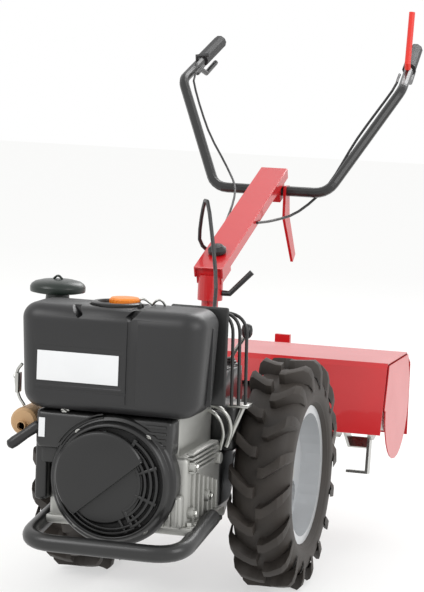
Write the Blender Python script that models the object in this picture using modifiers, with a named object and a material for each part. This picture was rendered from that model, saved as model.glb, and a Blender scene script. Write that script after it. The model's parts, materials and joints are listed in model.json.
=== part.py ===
"""Two-wheel walking tractor with a rear rotary tiller, parked on its wheels and its depth skid.

Metres, +Z up. +Y points to the rear, where the driver walks, and +X to the machine's left.
Places are measured from the ground under the axle. The empty named machine then moves the whole
machine along Y, so that the origin lies on the ground under the middle of its outline.
"""

import math

import bmesh
import bpy
from mathutils import Matrix, Vector

# Driving dimensions
GAP = 0.0003  # between pieces that touch
PIN_GAP = 0.0005  # round a shaft that turns
AXLE_SHIFT = -0.189  # from the middle of the outline to the axle
WHEEL_RADIUS = 0.230
TYRE_WIDTH = 0.115
TRACK = 0.402
BEAD_RADIUS = 0.127
RIM_FLANGE_RADIUS = 0.140
RIM_WIDTH = 0.089
RIM_WALL = 0.0035
DISC_WALL = 0.006
WINDOW_CIRCLE = 0.078
WINDOW_RADIUS = 0.030
WHEEL_STEPS = 36
AXLE_SHAFT_RADIUS = 0.0125
AXLE_HOUSING_RADIUS = 0.040

CRANK_HEIGHT = 0.282
ENGINE_WIDTH = 0.267
ENGINE_REAR = -0.2353
ENGINE_LENGTH = 0.220
ENGINE_BOTTOM = 0.190
ENGINE_TOP = 0.405
FAN_COVER_RADIUS = 0.122
FAN_COVER_DEPTH = 0.060
TANK_WIDTH = 0.355
TANK_CENTRE_X = -0.0125
TANK_DEPTH = 0.145
TANK_HEIGHT = 0.195
TANK_FRONT = -0.505
BUMPER_TUBE_RADIUS = 0.016
BUMPER_FRONT = -0.545

GEARBOX_WIDTH = 0.130
GEARBOX_TOP = 0.420
COLUMN_Y = 0.107
COLUMN_RADIUS = 0.0175
COLUMN_TOP = 0.600

ARM_SLOPE = math.atan(0.36)
ARM_LENGTH = 0.535
ARM_WIDTH = 0.062
ARM_DEPTH = 0.024
ARM_WALL = 0.004
ARM_HEAD_HEIGHT = 0.633  # top face over the column's axis

BAR_RADIUS = 0.0112
BAR_Y = 0.561
BAR_HEIGHT = 0.756
BAR_HALF = 0.130
BEND_X = 0.259
BEND_Y = 0.703
BEND_HEIGHT = 0.989
GRIP_END_X = 0.240
GRIP_END_Y = 0.934
GRIP_END_HEIGHT = 1.079
GRIP_LENGTH = 0.125
GRIP_RADIUS = 0.0160

ROTOR_Y = 0.550
ROTOR_HEIGHT = 0.262
ROTOR_RADIUS = 0.125
ROTOR_HALF = 0.288
ROTOR_SHAFT_RADIUS = 0.018
CASE_HALF = 0.030
NECK_RADIUS = 0.034
NECK_HEIGHT = 0.300
HOOD_HALF = 0.310
HOOD_SHEET = 0.0025
HOOD_TOP = 0.400
HOOD_REAR = 0.700
SKID_BAR = 0.012


# Tools ------------------------------------------------------------------------------------------
def clear_scene():
    for old in list(bpy.data.objects):
        bpy.data.objects.remove(old, do_unlink=True)


def finish(name, colour, roughness, metallic=0.0):
    made = bpy.data.materials.new(name)
    made.use_nodes = True
    shader = made.node_tree.nodes["Principled BSDF"]
    shader.inputs["Base Color"].default_value = (*colour, 1.0)
    shader.inputs["Roughness"].default_value = roughness
    shader.inputs["Metallic"].default_value = metallic
    return made


def pivot(name, place, parent=None):
    """An empty on a joint's axis; its place is measured from the ground under the axle."""
    empty = bpy.data.objects.new(name, None)
    PARTS.objects.link(empty)
    empty["place"] = place
    empty.parent = parent
    start = Vector(parent["place"]) if parent else Vector((0, 0, 0))
    empty.location = Vector(place) - start
    return empty


def keep(obj, name, material, parent):
    """Names a finished piece, gives it its material and hangs it on its body's empty."""
    obj.name = name
    obj.data.name = name
    obj.data.materials.clear()
    obj.data.materials.append(material)
    obj.parent = parent
    obj.location = obj.location - Vector(parent["place"])
    return obj


def object_of(mesh, place=(0, 0, 0), turn=(0, 0, 0)):
    obj = bpy.data.objects.new(mesh.name, mesh)
    PARTS.objects.link(obj)
    obj.location = place
    obj.rotation_euler = turn
    return obj


def baked(obj):
    """The object as one plain mesh, with its modifiers, curve bevels and place worked in."""
    bpy.context.view_layer.update()
    graph = bpy.context.evaluated_depsgraph_get()
    mesh = bpy.data.meshes.new_from_object(obj.evaluated_get(graph))
    mesh.transform(obj.matrix_world)
    work = bmesh.new()
    work.from_mesh(mesh)
    bmesh.ops.remove_doubles(work, verts=work.verts, dist=1e-6)
    bmesh.ops.recalc_face_normals(work, faces=work.faces)
    work.to_mesh(mesh)
    work.free()
    bpy.data.objects.remove(obj, do_unlink=True)
    return object_of(mesh)


def combined(body, others, operation):
    """The body with the others joined to it or cut from it."""
    body = baked(body)
    others = [baked(other) for other in others]
    for other in others:
        step = body.modifiers.new(operation.title(), "BOOLEAN")
        step.operation = operation
        step.object = other
    body = baked(body)
    for other in others:
        bpy.data.objects.remove(other, do_unlink=True)
    return body


def joined(body, *others):
    return combined(body, others, "UNION")


def cut(body, *others):
    return combined(body, others, "DIFFERENCE")


def rounded(obj, width, segments=2):
    bevel = obj.modifiers.new("Bevel", "BEVEL")
    bevel.width = width
    bevel.segments = segments
    bevel.limit_method = "ANGLE"
    return obj


def block(size, centre, turn=(0, 0, 0)):
    work = bmesh.new()
    bmesh.ops.create_cube(work, size=1.0)
    bmesh.ops.scale(work, vec=size, verts=work.verts)
    mesh = bpy.data.meshes.new("block")
    work.to_mesh(mesh)
    work.free()
    return object_of(mesh, centre, turn)


def block_between(low, high):
    size = [b - a for a, b in zip(low, high)]
    centre = [(a + b) / 2 for a, b in zip(low, high)]
    return block(size, centre)


TURNS = {"X": (0, math.pi / 2, 0), "Y": (-math.pi / 2, 0, 0), "Z": (0, 0, 0)}


def drum(radius, length, centre, axis, sides=32):
    work = bmesh.new()
    bmesh.ops.create_cone(
        work, cap_ends=True, segments=sides, radius1=radius, radius2=radius, depth=length
    )
    mesh = bpy.data.meshes.new("drum")
    work.to_mesh(mesh)
    work.free()
    return object_of(mesh, centre, TURNS[axis])


def turned(profile, centre, axis, steps=40, closed=False):
    """A lathe shape: profile rows are (radius, distance along the axis), top to bottom outside."""
    mesh = bpy.data.meshes.new("turned")
    points = [(radius, 0.0, along) for radius, along in profile]
    edges = [(i, i + 1) for i in range(len(points) - 1)]
    if closed:
        edges.append((len(points) - 1, 0))
    mesh.from_pydata(points, edges, [])
    obj = object_of(mesh, centre, TURNS[axis])
    screw = obj.modifiers.new("Screw", "SCREW")
    screw.steps = steps
    screw.render_steps = steps
    screw.use_merge_vertices = True
    screw.merge_threshold = 1e-5
    screw.use_smooth_shade = False
    return obj


def bent_path(corners, bend_radius, steps=5):
    """Straight runs between the corners, with each corner rounded by an arc."""
    corners = [Vector(corner) for corner in corners]
    path = [corners[0]]
    for before, corner, after in zip(corners, corners[1:], corners[2:]):
        towards = (before - corner).normalized()
        away = (after - corner).normalized()
        half = towards.angle(away) / 2
        reach = bend_radius / math.tan(half)
        middle = corner + (towards + away).normalized() * bend_radius / math.sin(half)
        first = corner + towards * reach - middle
        last = corner + away * reach - middle
        sweep = first.angle(last)
        for i in range(steps + 1):
            share = i / steps
            blend = (
                first * math.sin((1 - share) * sweep) + last * math.sin(share * sweep)
            ) / math.sin(sweep)
            path.append(middle + blend)
    return path + [corners[-1]]


def smooth_path(points, spacing):
    """Even points on a Catmull-Rom curve through a cable's hand-chosen points."""
    points = [Vector(point) for point in points]
    ends = [2 * points[0] - points[1], 2 * points[-1] - points[-2]]
    rail = [ends[0], *points, ends[1]]
    path = []
    for a, b, c, d in zip(rail, rail[1:], rail[2:], rail[3:]):
        count = max(2, round((c - b).length / spacing))
        for i in range(count):
            t = i / count
            path.append(
                0.5
                * (
                    2 * b
                    + (c - a) * t
                    + (2 * a - 5 * b + 4 * c - d) * t**2
                    + (3 * b - a - 3 * c + d) * t**3
                )
            )
    return path + [points[-1]]


def tube(path, radius, resolution=3):
    curve = bpy.data.curves.new("tube", "CURVE")
    curve.dimensions = "3D"
    curve.bevel_depth = radius
    curve.bevel_resolution = resolution
    curve.use_fill_caps = True
    spline = curve.splines.new("POLY")
    spline.points.add(len(path) - 1)
    for point, place in zip(spline.points, path):
        point.co = (*place, 1.0)
    return object_of(curve)


def plate(outline, thickness, x_middle):
    """A flat plate standing in the YZ plane, from outline rows of (y, z)."""
    curve = bpy.data.curves.new("plate", "CURVE")
    curve.dimensions = "2D"
    curve.fill_mode = "BOTH"
    curve.extrude = thickness / 2
    spline = curve.splines.new("POLY")
    spline.points.add(len(outline) - 1)
    for point, (y, z) in zip(spline.points, outline):
        point.co = (y, z, 0.0, 1.0)
    spline.use_cyclic_u = True
    obj = object_of(curve, (x_middle, 0, 0))
    obj.rotation_euler = (math.pi / 2, 0, math.pi / 2)
    return obj


def arc(centre_y, centre_z, radius, start, stop, steps):
    """Points (y, z) on an arc, with angles in degrees from +Y towards +Z."""
    made = []
    for i in range(steps + 1):
        angle = math.radians(start + (stop - start) * i / steps)
        made.append((centre_y + radius * math.cos(angle), centre_z + radius * math.sin(angle)))
    return made


def folded_sheet(profile, half_width, thickness):
    """A sheet bent along X, from profile rows of (y, z) on its middle surface."""
    work = bmesh.new()
    row = [work.verts.new((-half_width, y, z)) for y, z in profile]
    for first, second in zip(row, row[1:]):
        work.edges.new((first, second))
    swept = bmesh.ops.extrude_edge_only(work, edges=work.edges)["geom"]
    moved = [item for item in swept if isinstance(item, bmesh.types.BMVert)]
    bmesh.ops.translate(work, verts=moved, vec=(2 * half_width, 0, 0))
    mesh = bpy.data.meshes.new("sheet")
    work.to_mesh(mesh)
    work.free()
    obj = object_of(mesh)
    solid = obj.modifiers.new("Solidify", "SOLIDIFY")
    solid.thickness = thickness
    solid.offset = 0.0
    solid.use_even_offset = True
    return obj


# Engine -----------------------------------------------------------------------------------------
def make_engine(body):
    half = ENGINE_WIDTH / 2
    front = ENGINE_REAR - ENGINE_LENGTH
    keep(
        rounded(
            block_between((-half, front, ENGINE_BOTTOM), (half, ENGINE_REAR, ENGINE_TOP)), 0.012
        ),
        "engine_block",
        ALUMINIUM,
        body,
    )
    cover = [
        (0.0, FAN_COVER_DEPTH),
        (0.075, FAN_COVER_DEPTH),
        (0.080, FAN_COVER_DEPTH - 0.008),
        (FAN_COVER_RADIUS - 0.014, FAN_COVER_DEPTH - 0.010),
        (FAN_COVER_RADIUS, FAN_COVER_DEPTH - 0.022),
        (FAN_COVER_RADIUS, 0.0),
        (0.0, 0.0),
    ]
    fan_cover = turned(cover, (0, front - GAP, CRANK_HEIGHT), "Y")
    fan_cover.rotation_euler = (math.pi / 2, 0, 0)
    keep(fan_cover, "fan_cover", BLACK_PLASTIC, body)
    shroud = block_between(
        (-half - GAP - 0.025, front - 0.014, 0.230), (-half - GAP, ENGINE_REAR - 0.02, 0.400)
    )
    keep(rounded(shroud, 0.008), "cylinder_shroud", BLACK_METAL, body)
    grip_y = front - 0.014 - GAP - 0.009
    grip = tube([(-0.150, grip_y, 0.375), (-0.165, grip_y - 0.002, 0.352), (-0.200, grip_y - 0.012, 0.312)], 0.009)
    keep(grip, "starter_grip", BLACK_PLASTIC, body)
    make_tank(body)
    head_low = TANK_FRONT + TANK_DEPTH + GAP
    head = block_between((-0.140, head_low, ENGINE_TOP + GAP), (0.160, head_low + 0.085, 0.582))
    keep(rounded(head, 0.010), "cylinder_head", BLACK_METAL, body)
    filter_profile = [
        (0.0, 0.628),
        (0.040, 0.624),
        (0.053, 0.616),
        (0.053, 0.604),
        (0.046, 0.600),
        (0.022, 0.598),
        (0.022, 0.575),
        (0.040, 0.570),
        (0.040, 0.460),
        (0.0, 0.460),
    ]
    keep(
        turned(filter_profile, (-0.140 - GAP - 0.040, -0.315, 0), "Z", 32),
        "air_filter",
        BLACK_PLASTIC,
        body,
    )
    muffler_x = -half - 2 * GAP - 0.025 - 0.027
    keep(
        turned(
            [(0.0, 0.09), (0.020, 0.09), (0.027, 0.083), (0.027, -0.083), (0.020, -0.09), (0.0, -0.09)],
            (muffler_x, -0.375, 0.372),
            "Y",
            24,
        ),
        "muffler",
        HEAT_SHIELD,
        body,
    )
    side = half + GAP + BUMPER_TUBE_RADIUS
    rear, low, high = -0.320, 0.168, 0.200
    bumper = tube(
        bent_path(
            [(-side, rear, high), (-side, BUMPER_FRONT, low), (side, BUMPER_FRONT, low), (side, rear, high)],
            0.055,
            6,
        ),
        BUMPER_TUBE_RADIUS,
    )
    keep(bumper, "front_bumper", BLACK_METAL, body)


def make_tank(body):
    left = TANK_CENTRE_X - TANK_WIDTH / 2
    bottom = ENGINE_TOP + GAP
    tank = rounded(
        block_between(
            (left, TANK_FRONT, bottom),
            (left + TANK_WIDTH, TANK_FRONT + TANK_DEPTH, bottom + TANK_HEIGHT),
        ),
        0.022,
        3,
    )
    keep(tank, "fuel_tank", BLACK_PLASTIC, body)
    top = bottom + TANK_HEIGHT + GAP
    cap = turned([(0.0, 0.014), (0.018, 0.014), (0.022, 0.010), (0.022, 0.0), (0.0, 0.0)], (-0.02, -0.43, top), "Z", 24)
    keep(cap, "fuel_cap", ORANGE_PLASTIC, body)


# Transmission and wheels ------------------------------------------------------------------------
def make_transmission(body):
    case = [
        (-0.100, 0.330),
        (-0.100, 0.165),
        (-0.050, 0.118),
        (0.060, 0.118),
        (0.130, 0.180),
        (0.160, 0.240),
        (0.160, 0.370),
        (0.150, GEARBOX_TOP),
        (0.045, GEARBOX_TOP),
        (-0.040, 0.385),
    ]
    keep(rounded(baked(plate(case, GEARBOX_WIDTH, 0)), 0.008), "gearbox", BLACK_METAL, body)
    front = ENGINE_REAR + GAP
    length = -0.100 - GAP - front
    bell = [
        (0.0, length),
        (0.080, length),
        (0.102, length * 0.35),
        (0.102, 0.0),
        (0.0, 0.0),
    ]
    keep(turned(bell, (0, front, CRANK_HEIGHT), "Y", 32), "clutch_housing", ALUMINIUM, body)
    lever_foot = GEARBOX_TOP + GAP
    boot = turned(
        [(0.0, 0.012), (0.008, 0.012), (0.016, 0.0), (0.0, 0.0)], (0.045, 0.125, lever_foot), "Z", 16
    )
    rod = tube([(0.045, 0.125, lever_foot + 0.006), (0.075, 0.128, 0.480)], 0.004, 1)
    knob = turned(
        [(0.0, 0.030), (0.008, 0.028), (0.012, 0.020), (0.011, 0.010), (0.006, 0.0), (0.0, 0.0)],
        (0.0765, 0.1282, 0.478),
        "Z",
        16,
    )
    keep(joined(boot, rod, knob), "gear_lever", STEEL, body)
    foot = block_between(
        (-0.045, COLUMN_Y - 0.042, GEARBOX_TOP + GAP),
        (0.0285, COLUMN_Y + 0.040, GEARBOX_TOP + GAP + 0.012),
    )
    post = drum(COLUMN_RADIUS, COLUMN_TOP - GEARBOX_TOP - 0.006, (0, COLUMN_Y, (COLUMN_TOP + GEARBOX_TOP + 0.006) / 2), "Z", 24)
    keep(joined(foot, post), "steering_column", RED_PAINT, body)


def make_wheel(side, name, body):
    """One wheel: tyre, rim, disc with hub, and the axle shaft that carries it. side is 1 or -1."""
    centre = (side * TRACK / 2, 0, WHEEL_RADIUS)
    half = TYRE_WIDTH / 2
    seat = BEAD_RADIUS + 0.001
    bead = RIM_WIDTH / 2 - RIM_WALL - GAP
    tyre_half = [
        (WHEEL_RADIUS, half - 0.012),
        (WHEEL_RADIUS - 0.012, half),
        (WHEEL_RADIUS - 0.050, half),
        (RIM_FLANGE_RADIUS + 0.002, bead),
        (seat, bead),
    ]
    tyre = list(reversed(tyre_half)) + [(r, -x) for r, x in tyre_half]
    keep(turned(tyre, centre, "X", WHEEL_STEPS, closed=True), f"tyre_{name}", RUBBER, body)
    half_rim = RIM_WIDTH / 2
    flange = half_rim - RIM_WALL
    base = BEAD_RADIUS + GAP + GAP
    inside = base - RIM_WALL
    rim = [
        (RIM_FLANGE_RADIUS, -half_rim),
        (RIM_FLANGE_RADIUS, -flange),
        (base, -flange),
        (base, flange),
        (RIM_FLANGE_RADIUS, flange),
        (RIM_FLANGE_RADIUS, half_rim),
        (inside, half_rim),
        (inside, -half_rim),
    ]
    rim = turned(rim, centre, "X", WHEEL_STEPS, closed=True)
    inner_x = GEARBOX_WIDTH / 2 + 0.036
    outer_x = TRACK / 2 + 0.012
    disc = drum(inside + RIM_WALL / 2, DISC_WALL, centre, "X", WHEEL_STEPS)
    hub = drum(0.030, outer_x - inner_x, (side * (inner_x + outer_x) / 2, 0, WHEEL_RADIUS), "X", 24)
    windows = []
    for i in range(4):
        angle = math.radians(45 + 90 * i)
        y = WINDOW_CIRCLE * math.cos(angle)
        z = WHEEL_RADIUS + WINDOW_CIRCLE * math.sin(angle)
        windows.append(drum(WINDOW_RADIUS, 0.03, (centre[0], y, z), "X", 12))
    bore = drum(AXLE_SHAFT_RADIUS + GAP, 0.5, centre, "X", 20)
    keep(cut(joined(rim, disc, hub), bore, *windows), f"rim_{name}", SILVER_PAINT, body)
    shaft_start = GEARBOX_WIDTH / 2 + 0.004
    shaft = drum(
        AXLE_SHAFT_RADIUS,
        outer_x + 0.006 - shaft_start,
        (side * (shaft_start + outer_x + 0.006) / 2, 0, WHEEL_RADIUS),
        "X",
        20,
    )
    keep(shaft, f"axle_{name}", STEEL, body)


def make_axle_housing(side, name, body):
    start = GEARBOX_WIDTH / 2 + GAP
    length = 0.0345
    profile = [
        (AXLE_HOUSING_RADIUS, length / 2),
        (AXLE_HOUSING_RADIUS, -length / 2),
        (AXLE_SHAFT_RADIUS + PIN_GAP, -length / 2),
        (AXLE_SHAFT_RADIUS + PIN_GAP, length / 2),
    ]
    housing = turned(
        profile, (side * (start + length / 2), 0, WHEEL_RADIUS), "X", 32, closed=True
    )
    keep(housing, f"axle_housing_{name}", BLACK_METAL, body)


# Tiller -----------------------------------------------------------------------------------------
def make_tiller(body):
    start = 0.160 + GAP
    coupling = drum(0.052, 0.050, (0, start + 0.025, NECK_HEIGHT), "Y", 28)
    keep(coupling, "tiller_coupling", BLACK_METAL, body)
    neck_start = start + 0.050 + GAP
    neck_end = ROTOR_Y - 0.02
    neck = drum(
        NECK_RADIUS, neck_end - neck_start, (0, (neck_start + neck_end) / 2, NECK_HEIGHT), "Y", 28
    )
    under_hood = HOOD_TOP - HOOD_SHEET / 2 - GAP
    outline = arc(ROTOR_Y, ROTOR_HEIGHT, 0.058, 200, 340, 8)
    outline += [(ROTOR_Y + 0.055, under_hood), (ROTOR_Y - 0.055, under_hood)]
    side_case = plate(outline, 2 * CASE_HALF, 0)
    bore = drum(ROTOR_SHAFT_RADIUS + PIN_GAP, 0.2, (0, ROTOR_Y, ROTOR_HEIGHT), "X", 24)
    keep(cut(joined(side_case, neck), bore), "tiller_case", BLACK_METAL, body)
    cover = [
        (0.402, 0.250),
        (0.444, 0.390),
        (0.452, HOOD_TOP),
        (0.655, HOOD_TOP),
        (HOOD_REAR, 0.372),
        (HOOD_REAR, 0.345),
    ]
    slot = NECK_RADIUS + 0.008
    passage = block_between((-slot, 0.39, 0.2), (slot, 0.45, NECK_HEIGHT + slot))
    sheet = cut(folded_sheet(cover, HOOD_HALF, HOOD_SHEET), passage)
    keep(sheet, "hood_cover", RED_PAINT, body)
    flap_y = HOOD_REAR + HOOD_SHEET / 2 + GAP
    flap = block_between((-HOOD_HALF, flap_y, 0.205), (HOOD_HALF, flap_y + HOOD_SHEET, 0.368))
    keep(flap, "hood_rear", RED_PAINT, body)
    for side, name in ((1, "left"), (-1, "right")):
        outline = [(0.425, 0.300), (0.455, 0.396), (0.660, 0.396), (0.685, 0.340)]
        outline += arc(0.560, 0.300, 0.125, 0, -180, 14)
        sheet = plate(outline, HOOD_SHEET, side * (HOOD_HALF + GAP + HOOD_SHEET / 2))
        keep(sheet, f"hood_side_{name}", RED_PAINT, body)
    bracket_y = flap_y + HOOD_SHEET + GAP
    bracket = block_between((-0.030, bracket_y, 0.290), (0.030, bracket_y + 0.020, 0.366))
    keep(bracket, "skid_bracket", RED_PAINT, body)
    bar_y = bracket_y + 0.020 + GAP
    bar = block_between((-0.018, bar_y, 0.004), (0.018, bar_y + SKID_BAR, 0.410))
    foot = block_between((-0.035, bar_y - 0.090, 0.0), (0.035, bar_y + 0.050, 0.008))
    keep(joined(bar, foot), "depth_skid", RED_PAINT, body)


def make_blade(x, angle, bend):
    """An L-shaped blade: a radial shank whose end is bent sideways. bend is 1 or -1."""
    outline = [
        (-0.003, 0.034),
        (0.003, 0.034),
        (0.003, ROTOR_RADIUS - 0.006),
        (0.046, ROTOR_RADIUS - 0.006),
        (0.046, ROTOR_RADIUS),
        (-0.003, ROTOR_RADIUS),
    ]
    blade = baked(plate([(bend * along, out) for along, out in outline], 0.026, 0))
    blade.data.transform(Matrix.Rotation(-math.pi / 2, 4, "Z"))
    blade.data.transform(Matrix.Rotation(angle, 4, "X"))
    blade.data.transform(Matrix.Translation((x, ROTOR_Y, ROTOR_HEIGHT)))
    return blade


def make_rotor(body):
    shaft = drum(ROTOR_SHAFT_RADIUS, 2 * ROTOR_HALF, (0, ROTOR_Y, ROTOR_HEIGHT), "X", 16)
    keep(shaft, "rotor_shaft", STEEL, body)
    for side, name in ((1, "left"), (-1, "right")):
        inner = CASE_HALF + 0.005
        length = ROTOR_HALF - inner
        hub = turned(
            [
                (0.026, length / 2),
                (0.026, -length / 2),
                (ROTOR_SHAFT_RADIUS + GAP, -length / 2),
                (ROTOR_SHAFT_RADIUS + GAP, length / 2),
            ],
            (side * (inner + length / 2), ROTOR_Y, ROTOR_HEIGHT),
            "X",
            16,
            closed=True,
        )
        parts = []
        for row, x in enumerate((0.095, 0.185, 0.262)):
            flange = drum(0.050, 0.006, (side * x, ROTOR_Y, ROTOR_HEIGHT), "X", 16)
            bore = drum(0.024, 0.05, (side * x, ROTOR_Y, ROTOR_HEIGHT), "X", 16)
            parts.append(cut(flange, bore))
            for i in range(4):
                bend = -side if (i % 2 or row == 2) else side
                angle = math.radians(90 * i + 22 + 30 * row)
                parts.append(make_blade(side * x + bend * 0.0045, angle, bend))
        keep(joined(hub, *parts), f"tines_{name}", STEEL, body)


# Steering arm and handlebar ---------------------------------------------------------------------
def arm_point(along, below, x=0.0):
    """A point of the sloped arm: along it from the column's axis, and below its top face."""
    y = COLUMN_Y + along * math.cos(ARM_SLOPE) + below * math.sin(ARM_SLOPE)
    z = ARM_HEAD_HEIGHT + along * math.sin(ARM_SLOPE) - below * math.cos(ARM_SLOPE)
    return (x, y, z)


def make_arm(body):
    start = -0.026
    middle = start + ARM_LENGTH / 2
    half = ARM_WIDTH / 2
    channel = block(
        (ARM_WIDTH, ARM_LENGTH, ARM_DEPTH), arm_point(middle, ARM_DEPTH / 2), (ARM_SLOPE, 0, 0)
    )
    hollow = block(
        (ARM_WIDTH - 2 * ARM_WALL, ARM_LENGTH + 0.1, ARM_DEPTH),
        arm_point(middle, ARM_DEPTH / 2 + ARM_WALL),
        (ARM_SLOPE, 0, 0),
    )
    keep(cut(rounded(channel, 0.0015, 1), hollow), "arm_channel", RED_PAINT, body)
    inside = half - ARM_WALL - GAP
    saddle = block(
        (2 * inside, 0.070, ARM_DEPTH + 0.010),
        arm_point(0.012, ARM_WALL + GAP + (ARM_DEPTH + 0.010) / 2),
        (ARM_SLOPE, 0, 0),
    )
    low = COLUMN_TOP - 0.045
    collar = drum(0.026, 0.052, (0, COLUMN_Y, low + 0.026), "Z", 28)
    socket = drum(COLUMN_RADIUS + PIN_GAP, 0.06, (0, COLUMN_Y, COLUMN_TOP + GAP - 0.03), "Z", 24)
    keep(cut(joined(saddle, collar), socket), "swivel_head", RED_PAINT, body)
    lock = tube(
        [
            (0.026 + GAP, COLUMN_Y, low + 0.016),
            (0.042, COLUMN_Y, low + 0.016),
            (0.085, COLUMN_Y + 0.010, low + 0.062),
        ],
        0.006,
    )
    keep(lock, "lock_lever", BLACK_PLASTIC, body)
    knob = turned(
        [(0.0, 0.018), (0.012, 0.017), (0.019, 0.010), (0.019, 0.003), (0.015, 0.0), (0.0, 0.0)],
        arm_point(0.045, -GAP),
        "Z",
        24,
    )
    knob.rotation_euler = (ARM_SLOPE, 0, 0)
    keep(knob, "adjusting_knob", BLACK_PLASTIC, body)
    bar = Vector((0, BAR_Y, BAR_HEIGHT))
    along = (BAR_Y - COLUMN_Y) * math.cos(ARM_SLOPE) + (BAR_HEIGHT - ARM_HEAD_HEIGHT) * math.sin(ARM_SLOPE)
    depth = (BAR_Y - COLUMN_Y) * math.sin(ARM_SLOPE) - (BAR_HEIGHT - ARM_HEAD_HEIGHT) * math.cos(ARM_SLOPE)
    top = ARM_WALL + GAP
    bottom = depth + BAR_RADIUS + 0.008
    clamp = block(
        (2 * inside, 0.042, bottom - top), arm_point(along, (top + bottom) / 2), (ARM_SLOPE, 0, 0)
    )
    bore = drum(BAR_RADIUS + PIN_GAP, 0.2, bar, "X", 24)
    keep(cut(clamp, bore), "bar_clamp", RED_PAINT, body)
    latch = block(
        (0.020, 0.190, 0.012),
        arm_point(along - 0.021 - GAP - 0.095, ARM_WALL + GAP + 0.030),
        (ARM_SLOPE, 0, 0),
    )
    post = block(
        (0.020, 0.016, 0.030),
        arm_point(along - 0.021 - GAP - 0.180, ARM_WALL + GAP + 0.015),
        (ARM_SLOPE, 0, 0),
    )
    keep(joined(latch, post), "latch_bar", RED_PAINT, body)


def bar_points():
    """The handlebar's corners from the crossbar's middle to the left grip's end."""
    bend = Vector((BEND_X, BEND_Y, BEND_HEIGHT))
    end = Vector((GRIP_END_X, GRIP_END_Y, GRIP_END_HEIGHT))
    back = (bend - end).normalized()
    return Vector((BAR_HALF, BAR_Y, BAR_HEIGHT)), bend, end + back * GRIP_LENGTH, end


def mirrored(point):
    return Vector((-point[0], point[1], point[2]))


def make_handlebar(body):
    corner, bend, grip_start, end = bar_points()
    corners = [grip_start, bend, corner]
    bar = tube(
        bent_path([*corners, *[mirrored(point) for point in reversed(corners)]], 0.045, 5),
        BAR_RADIUS,
    )
    keep(bar, "handlebar", BLACK_METAL, body)
    along = (end - grip_start).normalized()
    for side, name in ((1, "left"), (-1, "right")):
        points = [grip_start + along * GAP, end]
        if side < 0:
            points = [mirrored(point) for point in points]
        keep(tube(points, GRIP_RADIUS), f"grip_{name}", RUBBER, body)
    quadrant = plate(
        [
            (BAR_Y - 0.014, BAR_HEIGHT - 0.060),
            (BAR_Y - 0.014, BAR_HEIGHT + 0.012),
            (BAR_Y + 0.018, BAR_HEIGHT + 0.012),
            (BAR_Y + 0.030, BAR_HEIGHT - 0.060),
            (BAR_Y + 0.098, BAR_HEIGHT - 0.150),
            (BAR_Y + 0.078, BAR_HEIGHT - 0.166),
        ],
        0.006,
        0.036,
    )
    hole = drum(BAR_RADIUS + GAP, 0.2, (0, BAR_Y, BAR_HEIGHT), "X", 24)
    keep(cut(quadrant, hole), "notched_plate", RED_PAINT, body)
    make_levers(body, grip_start, along)


def make_levers(body, grip_start, along):
    """Hand levers lie under the bars just ahead of the grips; the stop lever stands on the left."""
    up = (Vector((0, 0, 1)) - along * along.z).normalized()
    lever_radius = 0.006
    seat = BAR_RADIUS + GAP + lever_radius
    for side, name in ((1, "clutch_lever"), (-1, "drive_lever")):
        points = [
            grip_start - along * 0.035 - up * seat,
            grip_start - along * 0.010 - up * seat,
            grip_start + along * 0.020 - up * (seat + 0.022),
            grip_start + along * 0.085 - up * (seat + 0.020),
        ]
        if side < 0:
            points = [mirrored(point) for point in points]
        keep(tube(points, lever_radius, 2), name, BLACK_METAL, body)
    foot = grip_start - along * 0.025 + up * (BAR_RADIUS + GAP)
    stop = tube([foot, foot + up * 0.014, foot + Vector((0, 0.020, 0.130))], 0.007)
    keep(stop, "stop_lever", RED_PLASTIC, body)
    foot = mirrored(foot)
    up = mirrored(up)
    throttle = tube([foot, foot + up * 0.010, foot + up * 0.014 + Vector((0.030, 0, 0))], 0.005, 2)
    keep(throttle, "throttle_lever", BLACK_PLASTIC, body)


CABLES = (
    # name, radius, body, route
    (
        "throttle_cable",
        0.0025,
        "handlebar",
        (
            (-0.2340, 0.790, 1.0228),
            (-0.2360, 0.760, 1.0112),
            (-0.2350, 0.710, 0.988),
            (-0.175, 0.640, 0.880),
            (-0.112, 0.590, 0.800),
            (-0.060, 0.480, 0.757),
            (-0.036, 0.340, 0.7045),
            (-0.0338, 0.254, 0.673),
        ),
    ),
    (
        "clutch_cable",
        0.0030,
        "handlebar",
        (
            (0.2340, 0.790, 1.0228),
            (0.2360, 0.760, 1.0112),
            (0.2350, 0.710, 0.986),
            (0.175, 0.643, 0.878),
            (0.125, 0.595, 0.775),
            (0.075, 0.530, 0.715),
            (0.045, 0.430, 0.700),
            (0.0343, 0.330, 0.701),
        ),
    ),
    (
        "engine_cables",
        0.0040,
        "chassis",
        (
            (-0.0353, 0.190, 0.6497),
            (-0.040, 0.150, 0.675),
            (-0.020, 0.100, 0.745),
            (0.0, 0.060, 0.762),
            (0.018, 0.040, 0.700),
            (0.040, 0.010, 0.590),
            (0.055, -0.080, 0.510),
            (0.060, -0.180, 0.490),
            (0.060, -0.2744, 0.490),
        ),
    ),
)
CABLE_SPACING = 0.035


def make_cables(bodies):
    for name, radius, body, route in CABLES:
        cable = tube(smooth_path(route, CABLE_SPACING), radius, 2)
        keep(cable, name, BLACK_PLASTIC, bodies[body])


# The machine ------------------------------------------------------------------------------------
clear_scene()
PARTS = bpy.data.collections.new("walking_tractor")
bpy.context.scene.collection.children.link(PARTS)

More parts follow.
